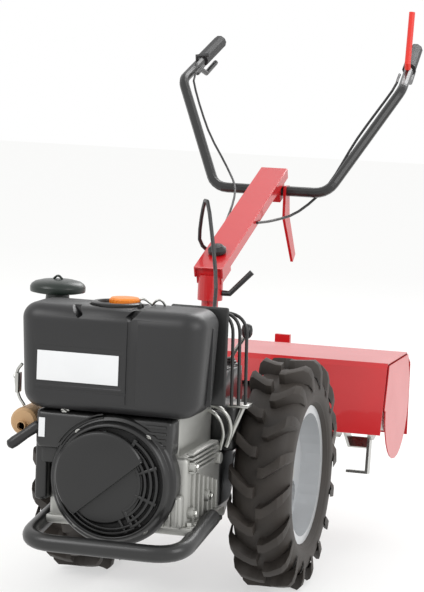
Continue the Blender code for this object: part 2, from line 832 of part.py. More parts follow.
RED_PAINT = finish("red_paint", (0.55, 0.02, 0.02), 0.35)
BLACK_METAL = finish("black_metal", (0.015, 0.015, 0.015), 0.40)
BLACK_PLASTIC = finish("black_plastic", (0.020, 0.020, 0.020), 0.50)
ALUMINIUM = finish("aluminium", (0.45, 0.45, 0.45), 0.50, 1.0)
STEEL = finish("steel", (0.35, 0.35, 0.34), 0.40, 1.0)
SILVER_PAINT = finish("silver_paint", (0.50, 0.50, 0.50), 0.35, 0.6)
RUBBER = finish("rubber", (0.030, 0.028, 0.026), 0.80)
HEAT_SHIELD = finish("heat_shield", (0.45, 0.38, 0.28), 0.50, 0.8)
ORANGE_PLASTIC = finish("orange_plastic", (0.80, 0.25, 0.02), 0.45)
RED_PLASTIC = finish("red_plastic", (0.75, 0.04, 0.02), 0.45)

machine = pivot("machine", (0, 0, 0))
left_axle = pivot("left_axle", (TRACK / 2, 0, WHEEL_RADIUS), machine)
right_axle = pivot("right_axle", (-TRACK / 2, 0, WHEEL_RADIUS), machine)
rotor_axis = pivot("rotor_axis", (0, ROTOR_Y, ROTOR_HEIGHT), machine)
column_axis = pivot("column_axis", (0, COLUMN_Y, COLUMN_TOP), machine)
bar_axis = pivot("bar_axis", (0, BAR_Y, BAR_HEIGHT), column_axis)

make_engine(machine)
make_transmission(machine)
make_axle_housing(1, "left", machine)
make_axle_housing(-1, "right", machine)
make_wheel(1, "left", left_axle)
make_wheel(-1, "right", right_axle)
make_tiller(machine)
make_rotor(rotor_axis)
make_arm(column_axis)
make_handlebar(bar_axis)
make_cables({"chassis": machine, "steering": column_axis, "handlebar": bar_axis})

machine.location.y = AXLE_SHIFT
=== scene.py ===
import json
import math

import bpy
from mathutils import Matrix, Vector


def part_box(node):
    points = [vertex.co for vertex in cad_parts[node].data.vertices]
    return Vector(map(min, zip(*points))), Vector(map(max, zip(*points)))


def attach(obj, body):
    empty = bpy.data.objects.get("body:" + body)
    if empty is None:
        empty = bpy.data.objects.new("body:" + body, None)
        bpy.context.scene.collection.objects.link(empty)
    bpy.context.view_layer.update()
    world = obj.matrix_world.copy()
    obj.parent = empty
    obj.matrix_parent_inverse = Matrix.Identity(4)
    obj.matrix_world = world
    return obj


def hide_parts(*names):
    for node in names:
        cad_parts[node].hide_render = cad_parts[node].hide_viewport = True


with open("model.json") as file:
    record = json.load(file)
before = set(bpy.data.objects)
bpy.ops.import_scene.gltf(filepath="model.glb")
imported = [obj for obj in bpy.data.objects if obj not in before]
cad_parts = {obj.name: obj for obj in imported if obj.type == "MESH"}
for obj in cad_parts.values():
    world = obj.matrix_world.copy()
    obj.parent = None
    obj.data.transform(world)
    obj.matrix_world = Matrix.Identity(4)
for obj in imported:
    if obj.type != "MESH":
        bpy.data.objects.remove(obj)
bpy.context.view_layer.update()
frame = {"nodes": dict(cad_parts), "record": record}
nodes = frame["nodes"]


# Studio and camera ------------------------------------------------------------------------------
# A plain pale floor, a big soft lamp over the front and a smaller one on each side.
# The camera stands in front of the machine, a little to its left, with a long lens.
def linear(hex_colour):
    """An sRGB hex colour as the linear values that Blender's sockets take."""
    values = [int(hex_colour[i : i + 2], 16) / 255 for i in (1, 3, 5)]
    return [v / 12.92 if v <= 0.04045 else ((v + 0.055) / 1.055) ** 2.4 for v in values] + [1.0]


def node(material, kind, inputs=None, **settings):
    """Adds a shader node; an input's value is a number, a colour or another node's socket."""
    made = material.node_tree.nodes.new(kind)
    for name, value in settings.items():
        setattr(made, name, value)
    for name, value in (inputs or {}).items():
        socket = made.inputs[name]
        if isinstance(value, bpy.types.NodeSocket):
            material.node_tree.links.new(value, socket)
        else:
            socket.default_value = value
    return made


def bare_material(name):
    material = bpy.data.materials.new(name)
    material.use_nodes = True
    material.node_tree.nodes.clear()
    return material


def close_material(material, shader):
    node(material, "ShaderNodeOutputMaterial", {"Surface": shader.outputs[0]})
    return material


floor_paper = bare_material("matt_studio_paper")
paper_seen = node(floor_paper, "ShaderNodeEmission", {"Color": (1.0, 1.0, 1.0, 1.0), "Strength": 1.0})
paper_lit = node(floor_paper, "ShaderNodeBsdfDiffuse", {"Color": linear("#F4F4F2")})
paper_mix = node(
    floor_paper,
    "ShaderNodeMixShader",
    {"Fac": 0.55, 1: paper_lit.outputs[0], 2: paper_seen.outputs[0]},
)
close_material(floor_paper, paper_mix)

bpy.ops.object.select_all(action="DESELECT")
bpy.ops.mesh.primitive_plane_add(size=30.0, location=(0, 0, 0))
floor = bpy.context.object
floor.name = "studio_floor"
floor.data.materials.append(floor_paper)

world = bpy.data.worlds.new("studio_world")
bpy.context.scene.world = world
world.use_nodes = True
world.node_tree.nodes["Background"].inputs["Color"].default_value = (1.0, 1.0, 1.0, 1.0)
world.node_tree.nodes["Background"].inputs["Strength"].default_value = 1.0

LAMPS = (
    # name, watts, size, place
    ("key_lamp", 60.0, 2.0, (-2.0, -3.0, 3.2)),
    ("left_lamp", 45.0, 2.0, (3.2, -1.5, 2.2)),
    ("rear_lamp", 60.0, 2.0, (0.5, 3.0, 3.0)),
)
for lamp_name, watts, lamp_size, lamp_place in LAMPS:
    lamp = bpy.data.lights.new(lamp_name, "AREA")
    lamp.energy = watts
    lamp.size = lamp_size
    lamp_object = bpy.data.objects.new(lamp_name, lamp)
    bpy.context.scene.collection.objects.link(lamp_object)
    lamp_object.location = lamp_place
    aim = Vector((0, 0, 0.5)) - Vector(lamp_place)
    lamp_object.rotation_euler = aim.to_track_quat("-Z", "Y").to_euler()

CAMERA_PLACE = Vector((1.3113, -4.6034, 1.1171))
CAMERA_TURN = math.radians(16.123)
CAMERA_TILT = math.radians(6.712)
CAMERA_ROLL = math.radians(2.292)
ahead = Vector(
    (
        -math.sin(CAMERA_TURN) * math.cos(CAMERA_TILT),
        math.cos(CAMERA_TURN) * math.cos(CAMERA_TILT),
        -math.sin(CAMERA_TILT),
    )
)
level = Vector((math.cos(CAMERA_TURN), math.sin(CAMERA_TURN), 0))
upright = level.cross(ahead)
right = math.cos(CAMERA_ROLL) * level + math.sin(CAMERA_ROLL) * upright
up = -math.sin(CAMERA_ROLL) * level + math.cos(CAMERA_ROLL) * upright
camera = bpy.data.objects.new("camera", bpy.data.cameras.new("camera"))
camera.data.lens = 139.64
camera.data.sensor_width = 36.0
camera.data.clip_end = 60.0
camera.matrix_world = Matrix.Translation(CAMERA_PLACE) @ Matrix((right, up, -ahead)).transposed().to_4x4()
bpy.context.scene.collection.objects.link(camera)
bpy.context.scene.camera = camera
bpy.context.scene.view_settings.view_transform = "Standard"


# Finishes ---------------------------------------------------------------------------------------
# Enamels, mouldings, castings and rubbers that several pieces share.
def finish(
    name,
    colour,
    roughness,
    metallic=0.0,
    coat=0.0,
    grain_mm=1.0,
    depth=0.1,
    spread=0.12,
    tint=None,
):
    """A surface with a fine bump, a slow change of colour and a worn-in change of gloss."""
    material = bare_material(name)
    place = node(material, "ShaderNodeTexCoord").outputs["Object"]
    slow = node(material, "ShaderNodeTexNoise", {"Vector": place, "Scale": 9.0, "Detail": 5.0})
    fine = node(
        material, "ShaderNodeTexNoise", {"Vector": place, "Scale": 1000.0 / grain_mm, "Detail": 2.0}
    )
    tone = node(
        material,
        "ShaderNodeMix",
        {"Factor": slow.outputs["Fac"], "A": linear(colour), "B": linear(tint or colour)},
        data_type="RGBA",
    )
    gloss = node(
        material,
        "ShaderNodeMapRange",
        {"Value": slow.outputs["Fac"], "To Min": roughness - spread / 2, "To Max": roughness + spread / 2},
    )
    bump = node(
        material,
        "ShaderNodeBump",
        {"Height": fine.outputs["Fac"], "Strength": depth, "Distance": 0.001},
    )
    shader = node(
        material,
        "ShaderNodeBsdfPrincipled",
        {
            "Base Color": tone.outputs[2],
            "Roughness": gloss.outputs["Result"],
            "Metallic": metallic,
            "Coat Weight": coat,
            "Normal": bump.outputs["Normal"],
        },
    )
    return close_material(material, shader)


red_enamel = finish("gloss_red_enamel", "#C4141B", 0.30, coat=0.4, grain_mm=3.0, depth=0.05, tint="#B00F16")
black_enamel = finish(
    "satin_black_enamel",
    "#131313",
    0.36,
    coat=0.15,
    grain_mm=1.5,
    depth=0.12,
    tint="#1B1B1B",
)
black_moulding = finish(
    "moulded_black_polyethylene",
    "#151516",
    0.40,
    grain_mm=0.9,
    depth=0.22,
    tint="#1E1E1F",
)
black_nylon = finish("glass_filled_black_nylon", "#121212", 0.34, grain_mm=1.2, depth=0.12, tint="#1C1C1C")
green_plastic = finish("dark_green_plastic", "#0F1A14", 0.35, grain_mm=1.5, depth=0.1, tint="#16211B")
cast_aluminium = finish(
    "shot_blasted_cast_aluminium", "#B4B4B0", 0.46, 0.9, grain_mm=1.6, depth=0.35, tint="#9A9A96"
)
zinc_steel = finish("zinc_plated_steel", "#C0C0BC", 0.28, 1.0, grain_mm=1.0, depth=0.08, tint="#A8A8A4")
wheel_enamel = finish(
    "silver_wheel_enamel",
    "#C6C8CA",
    0.34,
    0.45,
    coat=0.2,
    grain_mm=1.2,
    depth=0.08,
    tint="#B4B6B8",
)
tyre_rubber = finish("agricultural_tyre_rubber", "#1E1B19", 0.62, grain_mm=1.5, depth=0.35, tint="#3A332D")
grip_rubber = finish("grip_rubber", "#19191A", 0.60, grain_mm=1.0, depth=0.3, tint="#242425")
tan_enamel = finish("tan_heat_proof_enamel", "#C9A57C", 0.50, 0.2, grain_mm=1.5, depth=0.15, tint="#A98861")
orange_plastic = finish("moulded_orange_plastic", "#E8861E", 0.38, grain_mm=1.2, depth=0.08, tint="#D97614")
red_plastic = finish("moulded_red_plastic", "#D92A1C", 0.34, grain_mm=1.2, depth=0.06, tint="#C82214")
plate_enamel = finish("bare_silver_plate", "#E4E5E6", 0.32, 0.2, grain_mm=2.0, depth=0.04, tint="#D6D7D8")

# Near-black finish used only as painted shade inside the fan housing behind the starter grille.
painted_shade_black = finish("painted_shade_black_inside", "#050505", 0.7, grain_mm=2.0, depth=0.1, tint="#0A0A0A")

SLOT_FINISHES = {
    "red_paint": red_enamel,
    "black_metal": black_enamel,
    "black_plastic": black_moulding,
    "aluminium": cast_aluminium,
    "steel": zinc_steel,
    "silver_paint": wheel_enamel,
    "tyre": tyre_rubber,
    "rubber": grip_rubber,
    "heat_shield": tan_enamel,
    "orange_plastic": orange_plastic,
    "red_plastic": red_plastic,
}
for subpart in frame["record"]["subparts"]:
    carried = nodes[subpart["node"]]
    carried.data.materials.clear()
    carried.data.materials.append(SLOT_FINISHES[subpart["material_slot"]])

# Crankcase --------------------------------------------------------------------------------------
# The engine's lower half is one blasted aluminium casting with cooling ribs, bolt bosses and a
# flat foot that is bolted to the bearer plate.
def clear_choice():
    bpy.ops.object.select_all(action="DESELECT")


def block(low, high, turn=(0.0, 0.0, 0.0)):
    """A block between two corners, which may then be turned about its middle."""
    clear_choice()
    middle = [(a + b) / 2 for a, b in zip(low, high)]
    bpy.ops.mesh.primitive_cube_add(size=1.0, location=middle, rotation=turn)
    piece = bpy.context.object
    piece.scale = [b - a for a, b in zip(low, high)]
    bpy.ops.object.transform_apply(location=True, rotation=True, scale=True)
    return piece


def rod(radius, start, end, sides=24, end_radius=None):
    """A round bar between two points, straight or tapered."""
    clear_choice()
    start, end = Vector(start), Vector(end)
    along = end - start
    bpy.ops.mesh.primitive_cone_add(
        vertices=sides,
        radius1=radius,
        radius2=radius if end_radius is None else end_radius,
        depth=along.length,
        location=(start + end) / 2,
        rotation=along.to_track_quat("Z", "Y").to_euler(),
    )
    bpy.ops.object.transform_apply(location=True, rotation=True, scale=True)
    return bpy.context.object


AXIS_TURNS = {
    "X": Matrix.Rotation(math.pi / 2, 4, "Y"),
    "-X": Matrix.Rotation(-math.pi / 2, 4, "Y"),
    "Y": Matrix.Rotation(-math.pi / 2, 4, "X"),
    "-Y": Matrix.Rotation(math.pi / 2, 4, "X"),
    "Z": Matrix.Identity(4),
}


def turned(rows, centre, axis, sides=48):
    """A round face drawn out and resized from row to row; rows are (radius, distance on the axis)."""
    clear_choice()
    bpy.ops.mesh.primitive_circle_add(vertices=sides, radius=rows[0][0], fill_type="NGON")
    bpy.ops.object.mode_set(mode="EDIT")
    bpy.ops.mesh.select_all(action="SELECT")
    bpy.ops.transform.translate(value=(0, 0, rows[0][1]))
    for (wide, here), (next_wide, there) in zip(rows, rows[1:]):
        bpy.ops.mesh.extrude_region_move(TRANSFORM_OT_translate={"value": (0, 0, there - here)})
        share = next_wide / wide
        bpy.ops.transform.resize(value=(share, share, 1.0), center_override=(0, 0, there))
    bpy.ops.mesh.select_all(action="SELECT")
    bpy.ops.mesh.normals_make_consistent(inside=False)
    bpy.ops.object.mode_set(mode="OBJECT")
    piece = bpy.context.object
    piece.data.transform(Matrix.Translation(centre) @ AXIS_TURNS[axis])
    return piece


def spun(rows, centre, axis, steps=96):
    """A ring spun from a closed outline; rows are (radius, distance on the axis)."""
    clear_choice()
    bpy.ops.mesh.primitive_circle_add(vertices=len(rows), radius=1.0)
    piece = bpy.context.object
    for corner, (radius, along) in zip(piece.data.vertices, rows):
        corner.co = (radius, 0.0, along)
    bpy.ops.object.mode_set(mode="EDIT")
    bpy.ops.mesh.select_all(action="SELECT")
    bpy.ops.mesh.spin(steps=steps, angle=2 * math.pi, center=(0, 0, 0), axis=(0, 0, 1))
    bpy.ops.mesh.select_all(action="SELECT")
    bpy.ops.mesh.remove_doubles(threshold=0.00001)
    bpy.ops.mesh.normals_make_consistent(inside=False)
    bpy.ops.object.mode_set(mode="OBJECT")
    piece.data.transform(Matrix.Translation(centre) @ AXIS_TURNS[axis])
    return piece


def bent_tube(points, radius, rounding=0.0, sides=5):
    """A round tube along a path; with a rounding its corners are soft, else it is a smooth cable."""
    curve = bpy.data.curves.new("tube", "CURVE")
    curve.dimensions = "3D"
    curve.bevel_depth = radius
    curve.bevel_resolution = sides
    curve.use_fill_caps = True
    path = [Vector(point) for point in points]
    if rounding:
        spline = curve.splines.new("POLY")
        soft = [path[0]]
        for before, corner, after in zip(path, path[1:], path[2:]):
            back = (before - corner).normalized() * rounding
            on = (after - corner).normalized() * rounding
            for step in range(9):
                share = step / 8
                soft.append(corner + back * (1 - share) ** 2 + on * share**2)
        soft.append(path[-1])
        spline.points.add(len(soft) - 1)
        for point, place in zip(spline.points, soft):
            point.co = (*place, 1.0)
    else:
        curve.resolution_u = 10
        spline = curve.splines.new("BEZIER")
        spline.bezier_points.add(len(path) - 1)
        for point, place in zip(spline.bezier_points, path):
            point.co = place
            point.handle_left_type = "AUTO"
            point.handle_right_type = "AUTO"
    piece = bpy.data.objects.new("tube", curve)
    bpy.context.scene.collection.objects.link(piece)
    clear_choice()
    piece.select_set(True)
    bpy.context.view_layer.objects.active = piece
    bpy.ops.object.convert(target="MESH")
    bpy.ops.object.mode_set(mode="EDIT")
    bpy.ops.mesh.select_all(action="SELECT")
    bpy.ops.mesh.remove_doubles(threshold=0.00001)
    bpy.ops.object.mode_set(mode="OBJECT")
    return bpy.context.object


def joined(*pieces):
    clear_choice()
    for piece in pieces:
        piece.select_set(True)
    bpy.context.view_layer.objects.active = pieces[0]
    bpy.ops.object.join()
    return bpy.context.object


def ring_of(piece, count, centre, axis, sweep=360.0):
    """Copies of a piece round an axis, joined to it."""
    copies = [piece]
    there = Matrix.Translation(centre)
    back = there.inverted()
    letter = axis.replace("-", "")
    for i in range(1, count):
        mesh = piece.data.copy()
        mesh.transform(there @ Matrix.Rotation(math.radians(sweep * i / count), 4, letter) @ back)
        copy = bpy.data.objects.new("copy", mesh)
        bpy.context.scene.collection.objects.link(copy)
        copies.append(copy)
    return joined(*copies)


def carved(piece, *cutters):
    """Cuts each cutter out of the piece and removes it."""
    for cutter in cutters:
        step = piece.modifiers.new("cut", "BOOLEAN")
        step.operation = "DIFFERENCE"
        step.object = cutter
        clear_choice()
        bpy.context.view_layer.objects.active = piece
        bpy.ops.object.modifier_apply(modifier=step.name)
        bpy.data.objects.remove(cutter, do_unlink=True)
    return piece


def edged(piece, width, segments=2, angle=30.0):
    bevel = piece.modifiers.new("edge", "BEVEL")
    bevel.width = width
    bevel.segments = segments
    bevel.angle_limit = math.radians(angle)
    clear_choice()
    bpy.context.view_layer.objects.active = piece
    bpy.ops.object.modifier_apply(modifier=bevel.name)
    return piece


def placed(piece, name, material, body, edge=0.0, segments=2, smooth=35.0):
    """Rounds the edges, shades the surface, names the piece and hangs it on its body."""
    if edge:
        edged(piece, edge, segments)
    clear_choice()
    piece.select_set(True)
    bpy.context.view_layer.objects.active = piece
    bpy.ops.object.shade_smooth_by_angle(angle=math.radians(smooth))
    piece.name = name
    piece.data.name = name
    piece.data.materials.clear()
    piece.data.materials.append(material)
    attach(piece, body)
    return piece


def bolt(place, axis, radius=0.006, height=0.005):
    """A hexagon screw head on its washer."""
    washer = turned([(radius * 1.5, 0.0), (radius * 1.5, 0.0012), (radius * 1.3, 0.0014)], place, axis, 24)
    head = turned(
        [(radius, 0.001), (radius, height), (radius * 0.85, height + 0.001)], place, axis, 6
    )
    return joined(washer, head)


engine_low, engine_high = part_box("engine_block")
crank_height = 0.282
front_face = engine_low.y
left_face = engine_high.x
case = block(engine_low, (left_face, engine_high.y, 0.330))
foot = block((engine_low.x - 0.004, engine_low.y - 0.004, 0.186), (left_face + 0.012, engine_high.y, 0.202))
upper = block(
    (engine_low.x + 0.010, engine_low.y + 0.012, 0.320),
    (left_face - 0.020, engine_high.y, 0.404),
)
parts = [edged(case, 0.010, 3), edged(foot, 0.003), edged(upper, 0.008)]
for row in range(6):
    y = engine_low.y + 0.030 + 0.030 * row
    rib = block((left_face - 0.004, y, 0.205), (left_face + 0.006, y + 0.006, 0.300 - 0.008 * row))
    parts.append(edged(rib, 0.002))
for row in range(5):
    z = 0.300 + 0.0085 * row
    fin = block(
        (left_face - 0.006, engine_low.y + 0.010, z),
        (left_face + 0.008, engine_high.y - 0.05, z + 0.0042),
    )
    parts.append(edged(fin, 0.0015))
for y, z in ((0.020, 0.225), (0.020, 0.312), (0.120, 0.240), (0.190, 0.300)):
    boss = rod(
        0.011,
        (left_face - 0.010, engine_low.y + y, z),
        (left_face + 0.010, engine_low.y + y, z),
        28,
    )
    parts.append(edged(boss, 0.002))
web = block((left_face - 0.055, front_face - 0.020, 0.200), (left_face - 0.004, front_face + 0.004, 0.262))
parts.append(edged(web, 0.006, 3))
for row in range(4):
    x = left_face - 0.050 + 0.012 * row
    parts.append(
        edged(block((x, front_face - 0.026, 0.204), (x + 0.004, front_face - 0.010, 0.258)), 0.0015)
    )
crankcase = placed(joined(*parts), "crankcase_casting", cast_aluminium, "chassis")
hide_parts("engine_block")

screws = [
    bolt((left_face + 0.010, engine_low.y + y, z), "X") for y, z in (
        (0.020, 0.225),
        (0.020, 0.312),
        (0.120, 0.240),
    )
]
screws.append(bolt((left_face + 0.002, front_face + 0.012, 0.202), "Z", 0.008, 0.007))
crankcase_screws = placed(joined(*screws), "crankcase_screws", zinc_steel, "chassis", smooth=30.0)


# Recoil starter ---------------------------------------------------------------------------------
# The fan housing and the recoil starter's cover are glossy black nylon mouldings: a smooth
# shield over the cord drum, arc slots for the cooling air, and a rope with a T grip.
cover_low, cover_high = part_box("fan_cover")
cover_front = cover_low.y
cover_back = cover_high.y
cover_radius = (cover_high.x - cover_low.x) / 2
hub_place = (0.0, cover_back, crank_height)
depth = cover_back - cover_front
housing = turned(
    [
        (cover_radius, 0.0),
        (cover_radius, depth * 0.45),
        (cover_radius - 0.004, depth * 0.55),
        (cover_radius - 0.010, depth * 0.58),
        (cover_radius - 0.012, depth * 0.72),
        (cover_radius - 0.016, depth * 0.80),
        (cover_radius - 0.020, depth * 0.80),
        (cover_radius - 0.024, depth * 0.62),
        (0.052, depth * 0.62),
    ],
    hub_place,
    "-Y",
    96,
)


def front_point(radius, degrees, out):
    """A place on the starter's face: radius and angle about the crank, and height off its back."""
    angle = math.radians(degrees)
    return Vector((radius * math.cos(angle), cover_back - out, crank_height + radius * math.sin(angle)))


def arc_bar(radius, start, stop, out, wide, thick):
    """A flat bar bent round the crank between two angles."""
    count = max(3, int(abs(stop - start) / 5))
    clear_choice()
    bpy.ops.mesh.primitive_cube_add(size=1.0)
    piece = bpy.context.object
    piece.scale = (radius * math.radians(abs(stop - start)), thick, wide)
    bpy.ops.object.transform_apply(location=True, rotation=True, scale=True)
    cuts = [i / count - 0.5 for i in range(1, count)]
    bpy.ops.object.mode_set(mode="EDIT")
    for share in cuts:
        bpy.ops.mesh.select_all(action="SELECT")
        bpy.ops.mesh.bisect(
            plane_co=(radius * math.radians(abs(stop - start)) * share, 0, 0), plane_no=(1, 0, 0)
        )
    bpy.ops.object.mode_set(mode="OBJECT")
    middle = math.radians((start + stop) / 2)
    for corner in piece.data.vertices:
        angle = middle - corner.co.x / radius
        reach = radius + corner.co.z
        corner.co = (
            reach * math.cos(angle),
            cover_back - out + corner.co.y,
            crank_height + reach * math.sin(angle),
        )
    return piece


grille = []
slot_face = depth * 0.80
for radius in (0.058, 0.069, 0.080, 0.091):
    grille.append(arc_bar(radius, -62, 62, slot_face - 0.003, 0.0050, 0.008))
for degrees in (-60, -21, 21, 60):
    start = front_point(0.054, degrees, slot_face - 0.003)
    end = front_point(0.096, degrees, slot_face - 0.003)
    grille.append(rod(0.004, start, end, 12))
for radius in (0.086, 0.094):
    grille.append(arc_bar(radius, 95, 150, slot_face - 0.002, 0.0035, 0.008))
    grille.append(arc_bar(radius, 215, 300, slot_face - 0.002, 0.0035, 0.008))
grille_bars = joined(*[edged(bar, 0.001) for bar in grille])

shield = turned(
    [(0.088, 0.0), (0.088, 0.016), (0.085, 0.0195), (0.080, 0.021), (0.040, 0.0235), (0.010, 0.024)],
    front_point(0.0, 0.0, depth * 0.62) + Vector((-0.016, 0, 0.006)),
    "-Y",
    96,
)
crease_side = block((-0.2, -0.2, -0.5), (0.2, 0.2, 0.0))
crease_turn = Matrix.Rotation(math.radians(-40), 4, "Y")
crease_side.data.transform(
    Matrix.Translation((0.004, cover_back - depth * 0.8, crank_height - 0.006)) @ crease_turn
)
upper_shield = carved(shield, crease_side)
lower_shield = turned(
    [(0.080, 0.0), (0.080, 0.006), (0.076, 0.010), (0.060, 0.012), (0.010, 0.013)],
    front_point(0.0, 0.0, depth * 0.60) + Vector((-0.014, 0, 0.000)),
    "-Y",
    96,
)
lip = edged(block((-0.086, -0.005, -0.0035), (0.086, 0.005, 0.0035)), 0.002)
lip.data.transform(
    Matrix.Translation((-0.004, cover_back - depth * 0.86, crank_height - 0.006)) @ crease_turn
)
spokes = [
    rod(0.0035, front_point(0.012, -75, slot_face - 0.006), front_point(0.098, -52, slot_face - 0.006), 14),
    rod(
        0.0035,
        front_point(0.030, -100, slot_face - 0.006),
        front_point(0.098, -70, slot_face - 0.006),
        14,
    ),
]
starter_cover = placed(
    joined(edged(housing, 0.0015), grille_bars, edged(upper_shield, 0.003, 3), lower_shield, lip, *spokes),
    "recoil_starter_cover",
    black_nylon,
    "chassis",
)
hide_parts("fan_cover")

# A near-black disc behind the grille slots: painted shade standing in for the dark inside of the fan
# housing.
painted_shade_disc = placed(
    turned([(0.100, 0.0), (0.100, 0.002)], front_point(0, 0, depth * 0.63), "-Y", 64),
    "painted_shade_screen",
    painted_shade_black,
    "chassis",
)

starter_screws = [
    bolt(front_point(0.108, degrees, depth * 0.60), "-Y", 0.0045, 0.004) for degrees in (52, 128, 232, 308)
]
starter_screws = placed(joined(*starter_screws), "starter_screws", zinc_steel, "chassis", smooth=30.0)

cord_grip = edged(
    turned(
        [
            (0.004, -0.004),
            (0.009, 0.0),
            (0.0105, 0.008),
            (0.0095, 0.030),
            (0.0105, 0.055),
            (0.0095, 0.066),
            (0.004, 0.070),
        ],
        (0, 0, 0),
        "Z",
        28,
    ),
    0.001,
)
cord_grip.data.transform(
    Matrix.Translation((-0.150, cover_back - 0.022, 0.372))
    @ Matrix.Rotation(math.radians(-128), 4, "Y")
    @ Matrix.Rotation(math.radians(12), 4, "X")
)
starter_rope = bent_tube(
    [
        (-0.128, cover_back - 0.018, 0.384),
        (-0.140, cover_back - 0.020, 0.380),
        (-0.152, cover_back - 0.022, 0.370),
    ],
    0.0022,
)
starter_grip = placed(joined(cord_grip, starter_rope), "recoil_grip", black_nylon, "chassis")
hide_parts("starter_grip")


# Cylinder shroud --------------------------------------------------------------------------------
# Pressed black sheet round the cylinder on the far side, with a top duct over the fan housing.
shroud_low, shroud_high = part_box("cylinder_shroud")
shroud = edged(block(shroud_low, shroud_high), 0.007, 3)
duct = edged(
    block((shroud_low.x + 0.004, cover_back - 0.030, 0.330), (0.110, engine_low.y + 0.060, 0.403)), 0.012, 4
)
duct_nose = edged(
    block((shroud_low.x + 0.010, cover_back - 0.016, 0.300), (-0.090, engine_low.y + 0.05, 0.345)), 0.008, 3
)
side_ribs = [
    edged(
        block(
            (0.060, cover_back - 0.034, 0.338 + 0.012 * i),
            (0.100, cover_back - 0.020, 0.343 + 0.012 * i),
        ),
        0.001,
    )
    for i in range(5)
]
top_fins = [arc_bar(0.112 + 0.006 * i, 100, 150, depth * 0.50, 0.0022, 0.010) for i in range(3)]
shroud = placed(
    joined(shroud, duct, duct_nose, *side_ribs, *top_fins),
    "cylinder_cowl",
    black_enamel,
    "chassis",
)
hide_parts("cylinder_shroud")

bearing_label = placed(
    block(
        (shroud_low.x + 0.012, cover_back - 0.0315, 0.352),
        (shroud_low.x + 0.024, cover_back - 0.030, 0.388),
    ),
    "bare_shroud_plate",
    plate_enamel,
    "chassis",
)


# Fuel tank --------------------------------------------------------------------------------------
# A blow-moulded black polyethylene tank: wide soft corners, a strap groove down its front, a
# shallow band for a bare plate, and a recessed filler with an orange cap.
tank_low, tank_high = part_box("fuel_tank")
tank = block(tank_low, tank_high)
bpy.context.view_layer.objects.active = tank
bpy.ops.object.mode_set(mode="EDIT")
bpy.ops.mesh.select_mode(type="EDGE")
bpy.ops.mesh.select_all(action="DESELECT")
bpy.ops.object.mode_set(mode="OBJECT")
for edge in tank.data.edges:
    ends = [tank.data.vertices[i].co for i in edge.vertices]
    edge.select = abs(ends[0].z - ends[1].z) > 0.1
bpy.ops.object.mode_set(mode="EDIT")
bpy.ops.mesh.bevel(offset=0.042, segments=10)
bpy.ops.object.mode_set(mode="OBJECT")
tank = edged(tank, 0.030, 8, 60.0)
for corner in tank.data.vertices:
    low_share = (corner.co.z - tank_low.z) / (tank_high.z - tank_low.z)
    inward = 0.010 * (1 - low_share) ** 2
    corner.co.x += inward if corner.co.x < 0 else -inward
groove_x = 0.034
groove = edged(
    block(
        (groove_x - 0.010, tank_low.y - 0.02, tank_low.z - 0.02),
        (groove_x + 0.010, tank_low.y + 0.0035, tank_high.z + 0.02),
    ),
    0.003,
)
groove_top = edged(
    block(
        (groove_x - 0.010, tank_low.y - 0.02, tank_high.z - 0.0035),
        (groove_x + 0.010, tank_high.y + 0.02, tank_high.z + 0.02),
    ),
    0.003,
)
band = edged(
    block((tank_low.x + 0.030, tank_low.y - 0.02, 0.452), (groove_x - 0.016, tank_low.y + 0.0015, 0.527)),
    0.003,
)
step = edged(
    block((tank_low.x - 0.02, tank_low.y - 0.02, 0.444), (groove_x - 0.008, tank_low.y + 0.0012, 0.449)),
    0.001,
)
filler_x, filler_y = -0.022, -0.619
bowl = turned([(0.050, -0.006), (0.052, 0.02)], (filler_x, filler_y, tank_high.z), "Z", 48)
notches = []
for side in (-1, 1):
    notch = edged(block((-0.006, -0.030, -0.016), (0.006, 0.030, 0.016)), 0.003)
    notch.data.transform(
        Matrix.Translation((filler_x + side * 0.055, tank_low.y + 0.006, tank_high.z - 0.006))
        @ Matrix.Rotation(math.radians(side * 40), 4, "Y")
    )
    notches.append(notch)
tank = carved(tank, groove, groove_top, band, step, bowl, *notches)
seam = edged(
    block(
        (tank_low.x + 0.006, (tank_low.y + tank_high.y) / 2 - 0.0015, tank_low.z + 0.02),
        (tank_high.x + 0.0012, (tank_low.y + tank_high.y) / 2 + 0.0015, tank_high.z - 0.03),
    ),
    0.0008,
)
tank = placed(
    joined(edged(tank, 0.0015, 2, 40.0), seam),
    "fuel_tank_moulding",
    black_moulding,
    "chassis",
    smooth=40.0,
)
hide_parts("fuel_tank")

plate = placed(
    block((-0.147, tank_low.y - 0.0006, 0.461), (0.010, tank_low.y + 0.002, 0.516)),
    "bare_tank_plate",
    plate_enamel,
    "chassis",
    0.0006,
)

neck = turned(
    [(0.046, -0.010), (0.046, 0.004), (0.043, 0.006), (0.036, 0.006), (0.034, 0.001), (0.030, 0.001)],
    (filler_x, filler_y, tank_high.z),
    "Z",
    64,
)
neck = placed(neck, "filler_neck", black_nylon, "chassis")
cap = turned(
    [(0.026, 0.001), (0.0275, 0.003), (0.0275, 0.010), (0.0255, 0.0128), (0.016, 0.0138), (0.008, 0.0140)],
    (filler_x + 0.012, filler_y + 0.010, tank_high.z),
    "Z",
    48,
)
cap_ribs = ring_of(
    edged(
        block(
            (filler_x + 0.012 + 0.0265, filler_y + 0.0090, tank_high.z + 0.0025),
            (filler_x + 0.012 + 0.0290, filler_y + 0.0110, tank_high.z + 0.0100),
        ),
        0.0005,
    ),
    20,
    (filler_x + 0.012, filler_y + 0.010, 0),
    "Z",
)
cap = placed(joined(cap, cap_ribs), "fuel_filler_cap", orange_plastic, "chassis")
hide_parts("fuel_cap")
clips = [
    bent_tube([(0.010, -0.60, 0.601), (0.022, -0.605, 0.612), (0.040, -0.600, 0.603)], 0.0022),
    bent_tube([(0.036, -0.59, 0.600), (0.052, -0.592, 0.611), (0.062, -0.585, 0.600)], 0.0022),
    bolt((-0.100, tank_low.y + 0.030, tank_low.z - 0.006), "-Y", 0.006),
]
clips = placed(joined(*clips), "fuel_pipe_clips", zinc_steel, "chassis")


